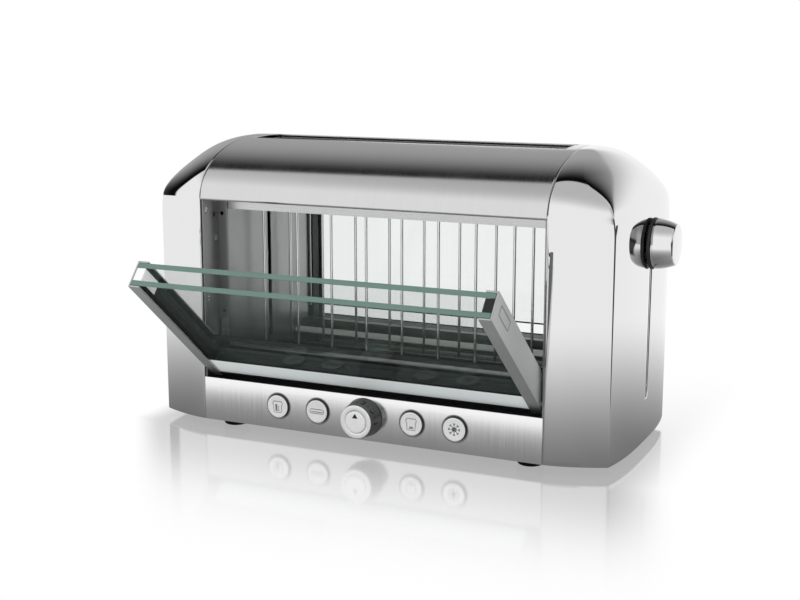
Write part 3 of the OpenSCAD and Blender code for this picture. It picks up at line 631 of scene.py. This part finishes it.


# Rails at the two ends: a web with a bevelled foot, a lip in front and one behind, and a pressed
# rectangle near the top, outlined in darker metal as painted shade
def windowRails(tag, bodyName, fix):
    w = window
    x, wall = w["railX"], w["wall"]
    z0, z1 = w["z0"], w["z1"]
    y0 = -body["halfW"]
    y1 = y0 + w["t"]
    web = [(y0, z0), (y1 - w["chamferD"], z0), (y1, z0 + w["chamferH"]), (y1, z1), (y0, z1)]
    for side, sign in (("left", -1), ("right", 1)):
        s = Shape().slab([web], x - wall, x, alongX, 0.3, 3)
        s.slab([rect(x - w["railW"], z0, x - 0.6, z1)], -y0 - wall, -y0, onFront, 0.35, 3)
        s.slab([rect(x - w["railW"], z0 + w["chamferH"], x - 0.6, z1)], -y1, -y1 + wall, onFront, 0.35, 3)
        # painted shade: the pressed rectangle's outline is a thin raised ring in the darker bracket metal
        pressedShadeLine = [rect(-77.5, 145.5, -69.5, 167.0, 1.0), rect(-76.7, 146.3, -70.3, 166.2, 0.6)[::-1]]
        s.slab(pressedShadeLine, x - 0.05, x + 0.12, alongX, 0.04, 1, mat=1)
        place = (lambda co: fix(mirrorX(co))) if sign < 0 else fix
        s.make(f"{tag}{side.capitalize()}Rail", bodyName, f"{bodyName}_{side}_rail", "window_rail",
               ["rail", "bracket"], fix=place)


# Two panes with the strip and the liners between them. The pale band with its black edges is
# printed on the outer pane, in front of the strip.
def windowSet(tag, bodyName, fix):
    w = window
    z0, z1 = w["z0"], w["z1"]
    y1 = w["t"] - body["halfW"]
    windowRails(tag, bodyName, fix)
    px = w["railX"] - w["wall"] - 0.2
    outerY = body["halfW"] - w["wall"] - 0.1
    innerY = w["wall"] + 0.1 + w["paneT"] - y1
    for part, y, low in (("outer", outerY, z0 + 0.5), ("inner", innerY, z0 + w["chamferH"] + 1)):
        s = Shape().slab([rect(-px, low, px, z1)], y - w["paneT"], y, onFront, 0.45, 2, mat=1, endMat=0)
        s.m = [2 if max(s.v[i][2] for i in f) < low + 1 else m for f, m in zip(s.f, s.m)]
        if part == "outer":
            lo, hi = w[tag + "Print"]
            for a, b, mat in ((0.6, lo, 2), (lo, hi, 3), (hi, hi + 0.9, 2)):
                band = rect(-w["printX"], z0 + a, w["printX"], z0 + b)
                s.slab([band], y - 0.1, y + 0.06, onFront, 0.03, 1, mat=mat)
        s.make(f"{tag}{part.capitalize()}Pane", bodyName, f"{bodyName}_{part}_pane", "window_glass",
               ["glass", "glassEdge", "railInside", "strip"], fix=fix)
    # room between the panes, with the slanted foot of the rails
    a = w["paneT"] + 0.05 - outerY
    b = -innerY - 0.05
    foot = min(b, y1 - w["chamferD"] + 0.4)
    slant = z0 + w["chamferH"] * (1 - (y1 - b) / w["chamferD"]) + 0.6
    x0, x1 = w["railX"] - w["railW"] + 0.8, w["railX"] - w["wall"] - 0.1
    s = Shape().slab([[(a, z0 + 0.5), (foot, z0 + 0.5), (b, slant), (b, z1 - 0.6), (a, z1 - 0.6)]],
                     x0, x1, alongX, 0.3, 2)
    # a pale block closes the top of the left liner; its near-white colour is a painted reflection of the
    # white surroundings
    block = rect(a + 0.1, z1 - w["paintedReflectionBlock"], b - 0.1, z1 - 0.3)
    both(s, "x").slab([block], -x1, 0.25 - x0, alongX, 0.3, 2, mat=1)
    s.make(tag + "Liners", bodyName, bodyName + "_liners", "black_trim", ["railInside", "paintedReflectionBlock"], fix=fix)
    top = z0 + w["stripH"]
    foot = min(b, y1 - w["chamferD"])
    s = Shape().slab([[(a, z0 + 0.6), (foot, z0 + 0.6), (b, slant), (b, top), (a, top)]],
                     -w["stripX"], w["stripX"], alongX, 0.4, 3)
    s.make(tag + "Strip", bodyName, bodyName + "_strip", "pale_strip", ["stripBack"], fix=fix)
    onHinge = lambda u, v, h: (h, w["pivotY"] + u, w["pivotZ"] + v)
    pin = [(0, 134.3), (2.3, 134.3), (2.5, 134.5), (2.5, 138.6), (2.2, 138.9), (0, 138.9)]
    both(Shape().lathe(pin, onHinge, 32), "x").make(tag + "Pins", bodyName, bodyName + "_pins", "bright_wire",
                                                    ["screw"], fix=fix)


windowSet("frontWindow", "front_window", opened)
windowSet("rearWindow", "rear_window", mirrorY)
print("windows ready")

lever = {"x": 187.1, "z": 153.0, "neck": 2.6, "r": 18.0, "l": 15.5, "taper": 0.2}


# Lever knob on its black collar: the barrel's radius falls along an arc from its base to its flat face
def leverParts():
    k = lever
    x, r, l = k["x"], k["r"], k["l"]
    base = x + k["neck"]
    onLever = lambda u, v, h: (h, u, k["z"] + v)
    collar = [(0, x), (r - 0.4, x), (r + 0.3, x + 0.3), (r + 0.55, x + 0.9), (r + 0.5, x + 1.9), (r, base),
              (0, base)]
    Shape().lathe(collar, onLever, 64).make("knobCollar", "lift", "knob_collar", "black_trim", ["black"])
    drop = r * k["taper"]
    bow = (l ** 2 + drop ** 2) / (2 * drop)
    prof = [(0, base), (r - 1.2, base), (r - 0.3, base + 0.4), (r, base + 1.3)]
    prof += [(r - bow + math.sqrt(bow ** 2 - q ** 2), base + q) for q in np.linspace(2.5, l - 1.4, 14)]
    face = prof[-1][0]
    end = base + l
    prof += [(face - 0.25, end - 0.75), (face - 0.8, end - 0.2), (face - 1.6, end), (0, end)]
    Shape().lathe(prof, onLever, 96).make("leverKnob", "lift", "lever_knob", "knob_metal", ["knob"],
                                          weighted=False)


# Painted or engraved lines: each line is a flat ribbon with square ends, lift above the surface
def strokes(s, lines, width, place, mat=0, lift=0.0, thick=0.12):
    for line in lines:
        closed = line[0] == line[-1] and len(line) > 2
        p = np.array(line[:-1] if closed else line, dtype=float)
        prev = np.roll(p, 1, 0) if closed else np.concatenate([p[:1], p[:-1]])
        nxt = np.roll(p, -1, 0) if closed else np.concatenate([p[1:], p[-1:]])
        t = nxt - prev
        t /= np.linalg.norm(t, axis=1)[:, None] + 1e-12
        n = np.stack([-t[:, 1], t[:, 0]], 1) * width / 2
        low = lift - thick
        rows = [[place(*(q + m), lift), place(*(q - m), lift), place(*(q - m), low), place(*(q + m), low)]
                for q, m in zip(p, n)]
        base = len(s.v)
        s.grid(rows, closedU=closed, closedV=True, mat=mat)
        if not closed:
            last = base + 4 * (len(rows) - 1)
            s.f += [(base, base + 1, base + 2, base + 3), (last + 3, last + 2, last + 1, last)]
            s.m += [mat, mat]


# Slice of bread, seen from the front: two round shoulders on a straight body
breadSlice = arcPts(-2.2, 2.2, 1.9, 225, 60, 8) + arcPts(2.2, 2.2, 1.9, 120, -45, 8)
breadSlice += [(3.1, -4.6), (-3.1, -4.6), breadSlice[0]]


# One arm of the frost sign: a thin spoke that ends in a wedge
def star(a):
    at = lambda r, d: (r * math.cos(a + d), r * math.sin(a + d))
    return [[at(0.3, 0), at(2.2, 0)], [at(2.9, 0), at(4.3, 0.16), at(4.3, -0.16), at(2.9, 0)]]


upLine = lambda x, top: [(x, -3.2), (x, top)]
level = lambda y, left, right: [(left, y), (right, y)]
icons = {
    "bread": [breadSlice, upLine(-1.7, 1.6), upLine(-1.1, 1.6), upLine(-0.5, 1.6), level(-3.3, -1.9, 1.6),
              upLine(0.9, 0.6)],
    "bagel": [arcPts(-4.2, 0, 1.6, 90, 270, 8) + arcPts(4.2, 0, 1.6, -90, 90, 8) + [(-4.2, 1.6)],
              level(-0.4, -4.6, 4.6)],
    "gluten_free": [breadSlice, level(-3.4, -1.9, 1.9), level(-2.8, -1.6, 1.6), level(-2.2, -1.2, 1.2)],
    "defrost": [line for i in range(8) for line in star(math.pi * i / 4)],
}
iconInk = {"defrost": (0.75, 1)}  # width and material number where they aren't the engraved ones


# Four turned buttons: a shallow dish whose depth falls with the square of the radius, and its picture
def buttons():
    c = controls
    r = c["buttonR"]
    dish = lambda q: 2.0 - 0.35 * (1 - (q / (r - 0.9)) ** 2)
    stem = [(0, -6.9), (1.9, -6.9), (2.0, -6.7), (2.0, -4.0), (r - 0.2, -4.0), (r, -3.8)]
    rim = [(r, 1.2), (r - 0.15, 1.55), (r - 0.4, 1.85)]
    face = [(r - 0.4, 1.85), (r - 0.9, 2.0)]
    face += [(q, dish(q)) for q in [*np.linspace(r - 1.5, 1.0, 7), 0]]
    for x, (key, lines) in zip(c["buttonX"], icons.items()):
        place = lambda u, v, h, x=x: (x + u, -body["halfW"] - h, c["z"] + v)
        onDish = lambda u, v, h, place=place: place(u, v, dish(math.hypot(u, v)) + h)
        # stem and rim get the darker side metal: painted shade on the button's side
        s = Shape().lathe(stem + rim, place, 72, mat=2).lathe(face, place, 72)
        width, mat = iconInk.get(key, (0.5, 3))
        strokes(s, lines, width, onDish, mat=mat, lift=0.05)
        s.make(key.replace("_f", "F") + "Button", key + "_button_body", key + "_button", "button_metal",
               ["button", "ink", "paintedShadeSide", "bracket"], weighted=False)


# Strokes of the dial's numbers, in a box 2 wide and 3 high
digits = {
    1: [[(-0.5, 1.0), (0.1, 1.5), (0.1, -1.5)]],
    2: [arcPts(0, 0.6, 0.9, 160, -30, 8) + [(-0.9, -1.5), (0.95, -1.5)]],
    3: [arcPts(0, 0.72, 0.78, 150, -90, 8), arcPts(0, -0.72, 0.82, 90, -150, 8)],
    4: [[(0.4, -1.5), (0.4, 1.5), (-0.95, -0.6), (1.0, -0.6)]],
    5: [[(0.8, 1.5), (-0.65, 1.5), (-0.75, 0.15)] + arcPts(0, -0.55, 0.92, 120, -145, 9)],
    6: [arcPts(0, -0.6, 0.9, 0, 360, 14), [(-0.88, -0.4), (-0.6, 0.7), (0.35, 1.5)]],
    7: [[(-0.9, 1.5), (0.95, 1.5), (-0.2, -1.5)]],
    8: [arcPts(0, 0.75, 0.72, 0, 360, 12), arcPts(0, -0.72, 0.85, 0, 360, 12)],
}
dialScale = {"first": -46.0, "turn": 41.0, "midR": 13.4, "at": 7.6, "high": 1.55, "wide": 1.6}


# Dial: a barrel that narrows evenly to its face, with numbers and dots on its flank. The height of a
# figure runs along the dial.
def dialParts():
    c = controls
    y = body["halfW"] + 0.4
    onDial = lambda u, v, h: (u, -y - h, c["z"] + v)
    l, r0, r1, stop = c["dialL"], c["dialR"], c["dialFaceR"], c["stopR"]
    flank = lambda h: r0 + (r1 - r0) * h / l
    prof = [(3.05, -5.9), (6.0, -5.9), (6.0, 0.02), (r0 - 0.3, 0.02), (r0, 0.3)]
    prof += [(flank(h), h) for h in np.linspace(0.8, l - 0.9, 8)]
    prof += [(r1 - 0.12, l - 0.4), (r1 - 0.45, l - 0.1), (r1 - 0.9, l), (stop + 0.9, l)]
    prof += [(stop + 0.45, l - 0.2), (stop + 0.3, l - 0.7), (stop + 0.3, l - 4.9), (3.05, l - 4.9),
             (3.05, -5.9)]
    s = Shape().lathe(prof, onDial, 96)
    # the flank gets the darker side metal: painted shade, standing in for the dark sill it mirrors
    s.m = [2 if max(-s.v[i][1] for i in f) < y + l - 0.3 else m for f, m in zip(s.f, s.m)]
    for i, lines in digits.items():
        at = math.radians(dialScale["turn"] * i + dialScale["first"])

        def onFlank(u, v, h, at=at):
            along = dialScale["at"] + v * dialScale["high"]
            r = flank(along) + h
            turn = at - u * dialScale["wide"] / dialScale["midR"]
            return onDial(r * math.cos(turn), r * math.sin(turn), along)

        strokes(s, lines, 0.8, onFlank, mat=1, lift=0.04)
        if i < len(digits):
            half = at + math.radians(dialScale["turn"] / 2)

            def onDot(u, v, h, half=half):
                r = flank(8 + v) + h
                turn = half - u / dialScale["midR"]
                return onDial(r * math.cos(turn), r * math.sin(turn), 8 + v)

            strokes(s, [arcPts(0, 0, 0.35, 0, 360, 8)], 0.7, onDot, mat=1, lift=0.04)
    s.make("dial", "dial_body", "dial", "dial_metal", ["dial", "ink", "paintedShadeSide"], weighted=False)
    top = l + 0.8
    button = [(0, l - 3.6), (stop, l - 3.6), (stop, top - 0.8), (stop - 0.2, top - 0.35)]
    button += [(stop - 0.6, top - 0.08), (stop - 1.0, top), (4.0, top - 0.1), (0, top - 0.15)]
    s = Shape().lathe(button, onDial, 72)
    onStop = lambda u, v, h: onDial(u, v, top - 0.1 + h)
    # pointer: triangles inside each other fill it
    for k in range(5):
        f = 1 - k / 5
        low = 3.0 + 0.3 * k
        triangle = [(-1.9 * f, low), (1.9 * f, low), (0, low + 3.1 * f), (-1.9 * f, low)]
        strokes(s, [triangle], 0.6, onStop, mat=1, lift=0.16)
    s.make("stopButton", "stop_button_body", "stop_button", "button_metal", ["button", "ink"], weighted=False)


leverParts()
buttons()
dialParts()
print("controls ready")

feet = {"x": 122, "y": 66}


def smallParts():
    s = Shape()
    foot = [(4.2, 1.9), (4.2, 0.4), (4.6, 0.0), (8.3, 0.0), (9.0, 0.35), (9.4, 1.1), (9.5, 2.0), (9.5, 6.4),
            (2.2, 6.4), (2.2, 1.9), (4.2, 1.9)]
    for x in (-feet["x"], feet["x"]):
        for y in (-feet["y"], feet["y"]):
            s.lathe(foot, lambda u, v, h, x=x, y=y: (x + u, y + v, h), 48)
    s.make("feet", "chassis", "feet", "rubber_feet", ["rubber"])
    s = Shape()
    head = [(0, 136.5), (0.5, 136.45), (1.2, 136.2), (2.2, 136.15), (2.45, 136.3), (2.5, 136.9), (1.3, 137.1),
            (1.3, 142.0), (0, 142.0)]
    for y, z in jambScrewPlaces:
        s.lathe(head, lambda u, v, h, y=y, z=z: (h, y + u, z + v), 32)
    both(both(s, "y"), "x").make("jambScrews", "chassis", "jamb_screws", "bright_wire", ["screw"])
    s = Shape()
    s.slab([rect(129.5, 67.0, 134.5, 83.0, 0.8), ring(132.6, 71.0, 1.0, 20)], 63.2, 64.3, onFront, 0.2, 2)
    s.slab([rect(129.5, 74.0, 131.1, 82.0, 0.5)], 63.4, 64.6, onFront, 0.2, 2)
    both(both(s, "y"), "x").make("stayLugs", "chassis", "stay_lugs", "inner_metal", ["screw"])


smallParts()

# Pieces inside or below keep their own solid and only get a finish
cadLooks = {"base_plate": "black", "bread_rack": "wire", "crumb_tray": "tray", "quartz_tubes": "quartz",
            "tube_holders": "ceramic", "lower_reflectors": "reflector", "upper_reflectors": "reflector",
            "foot_screws": "screw", "guide_rod": "wire", "guide_rod_bracket": "bracket",
            "hold_magnet": "bracket", "control_board": "circuit", "dial_encoder": "bracket",
            "power_board": "circuit", "cord_gland": "black", "lift_carriage": "bracket",
            "lift_spring": "spring"}
for node, key in cadLooks.items():
    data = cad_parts[node].data
    data.materials.clear()
    data.materials.append(mats[key])
print("small parts ready")

floorSettings = {"size": 12.0, "halfX": 0.187, "halfY": 0.086, "rightSlant": 0.285, "leftSlant": 0.72}


# Distance to the nearer of two edges at -half and half, 0 between them
def outside(p, half):
    return (p.absolute() - half).atLeast(0.0)


# Pale floor that mirrors most right beside the object and turns into plain white further from it.
# Seen in the polished metal, it glows with a painted shade that is dark near the object; it is also dark
# beyond its right end.
def floorPaint():
    f = floorSettings
    m, k = newTree("floorPaint")
    grain = objectNoise(k, 3.0, detail=2.0)
    x, y, _ = objectPoint(k).split()
    gapX, gapY = outside(x, f["halfX"]), outside(y, f["halfY"])
    gap = (gapX * gapX + gapY * gapY).power(0.5)
    ahead = (y * -1.0 - f["halfY"]).atLeast(0.0)
    paint = k.node("ShaderNodeBsdfPrincipled", {"Base Color": (0.93, 0.93, 0.93, 1), "Roughness": 0.6,
                                               "Specular IOR Level": 0.0})
    white = k.node("ShaderNodeEmission", {0: (1, 1, 1, 1), 1: 1.0})
    pale = k.node("ShaderNodeMixShader", {0: 0.88, 1: paint, 2: white})
    shine = k.node("ShaderNodeBsdfPrincipled", {"Base Color": (1, 1, 1, 1), "Metallic": 1.0,
                                               "Roughness": grain.step(0.3, 0.7, 0.085, 0.10)})
    look = k.node("ShaderNodeMixShader", {0: gap.step(0.0, 0.20, 0.55, 0.10), 1: pale, 2: shine})
    look = k.node("ShaderNodeMixShader", {0: gap.step(0.03, 0.24), 1: look, 2: white})
    right = (x - f["halfX"] - ahead * f["rightSlant"]).step(0.0, 0.045)
    left = (ahead * f["leftSlant"] - x - f["halfX"]).step(-0.01, 0.02)
    look = k.node("ShaderNodeMixShader", {0: right.atLeast(left), 1: look, 2: white})
    beyond = (x - 0.185 - (y + 0.073).absolute() * 0.8).step(0.10, 0.20, 1.0, 0.07)
    gapBack = outside(y + 0.043, 0.043)
    # painted shade of the object, as the polished metal sees the floor
    paintedShadeFade = (gapX * gapX + gapBack * gapBack).power(0.5).step(-0.06, 0.50, 0.17, 1.0) * beyond
    paintedShadeGlow = k.node("ShaderNodeEmission", {0: paintedShadeFade.asGray(), 1: 1.0})
    mirrored = k.node("ShaderNodeLightPath", out="Is Glossy Ray")
    k.node("ShaderNodeMixShader", {0: mirrored, 1: look, 2: paintedShadeGlow}).toOutput()
    return m


def floorPlane():
    e = floorSettings["size"]
    mesh = bpy.data.meshes.new("floor")
    mesh.from_pydata([(-e, -e, 0), (e, -e, 0), (e, e, 0), (-e, e, 0)], [], [(0, 1, 2, 3)])
    mesh.materials.append(floorPaint())
    floor = bpy.data.objects.new("floor", mesh)
    bpy.context.scene.collection.objects.link(floor)


# Mirror surroundings, from the photo. In front: white, falling to grey overhead and at the right side.
# Behind the overhead panel's edge: black, rising to grey; low behind the object: white.
def mirrorTone(x, y, z):
    front = z.step(0.55, 0.98, 1.0, 0.55)
    front = front * (x.step(0.48, 0.72) * z.step(-0.05, 0.15)).step(0.0, 1.0, 1.0, 0.62)
    crease = x.step(0.50, 0.70) * z.step(0.12, 0.42, 1.0, 0.0) * y.step(0.20, 0.42, 1.0, 0.0)
    front = front * crease.step(0.0, 1.0, 1.0, 0.09)
    edge = y - z * 0.15 - x * 0.30
    behind = edge.step(0.10, 0.85, 0.004, 0.42)
    wide = x.step(0.40, 0.72, 1.0, 0.0) * x.step(-0.30, 0.10)
    left = x.step(-0.55, -0.35, 1.0, 0.0)
    horizon = (0.25 - wide * 0.11 - left * 0.30, 0.33 + wide * 0.29 - left * 0.25)
    low = z.step(*horizon, 1.0, 0.0) * y.step(0.15, 0.40)
    back = edge.step(-0.01, 0.04)
    shade = front * (1.0 - back) + behind * back
    return shade * (1.0 - low) + low


# White for the camera and for diffuse light, and the mirror surroundings for polished metal. A mirror
# image seen in another mirror, such as the body in the floor, is dimmer.
def studioWorld():
    world = bpy.data.worlds.new("studio")
    bpy.context.scene.world = world
    world.use_nodes = True
    world.node_tree.nodes.clear()
    k = Num(world.node_tree, None)
    tone = mirrorTone(*k.node("ShaderNodeTexCoord").split()).asGray()
    rays = ("Is Camera Ray", "Is Glossy Ray", "Is Transmission Ray", "Glossy Depth")
    camera, glossy, passing, depth = [k.node("ShaderNodeLightPath", out=name) for name in rays]
    deep = depth.step(1.4, 1.6, 1.0, 0.5)
    tone = k.node("ShaderNodeVectorMath", {0: tone, "Scale": deep}, operation="SCALE")
    tone = camera.atLeast(passing).mix(glossy.mix(gray(1.0), tone), gray(1.0))
    k.node("ShaderNodeBackground", {0: tone, 1: 1.0}).toOutput("ShaderNodeOutputWorld")


# A soft lamp that the polished metal doesn't show
def keyLamp(at, aim, size, power):
    lamp = bpy.data.lights.new("key", "AREA")
    lamp.size = size
    lamp.energy = power
    key = bpy.data.objects.new("key", lamp)
    key.location = at
    key.rotation_euler = (Vector(aim) - Vector(at)).to_track_quat("-Z", "Y").to_euler()
    key.visible_glossy = False
    bpy.context.scene.collection.objects.link(key)


# Camera fitted to the photo: place in metres, tilt below level and turn in degrees
view = {"sensor": 36.0, "lens": 60.80, "place": (0.42849, -0.93822, 0.29854), "tilt": 11.10, "turn": 25.12}


def photoCamera():
    cam = bpy.data.cameras.new("camera")
    cam.sensor_width = view["sensor"]
    cam.lens = view["lens"]
    camera = bpy.data.objects.new("camera", cam)
    camera.location = view["place"]
    camera.rotation_euler = (math.radians(90 - view["tilt"]), 0, math.radians(view["turn"]))
    bpy.context.scene.collection.objects.link(camera)
    bpy.context.scene.camera = camera


floorPlane()
studioWorld()
keyLamp((-0.9, -0.6, 1.5), (0, 0, 0.1), 0.8, 2.0)
photoCamera()
bpy.context.scene.view_settings.view_transform = "Standard"
print("studio ready")
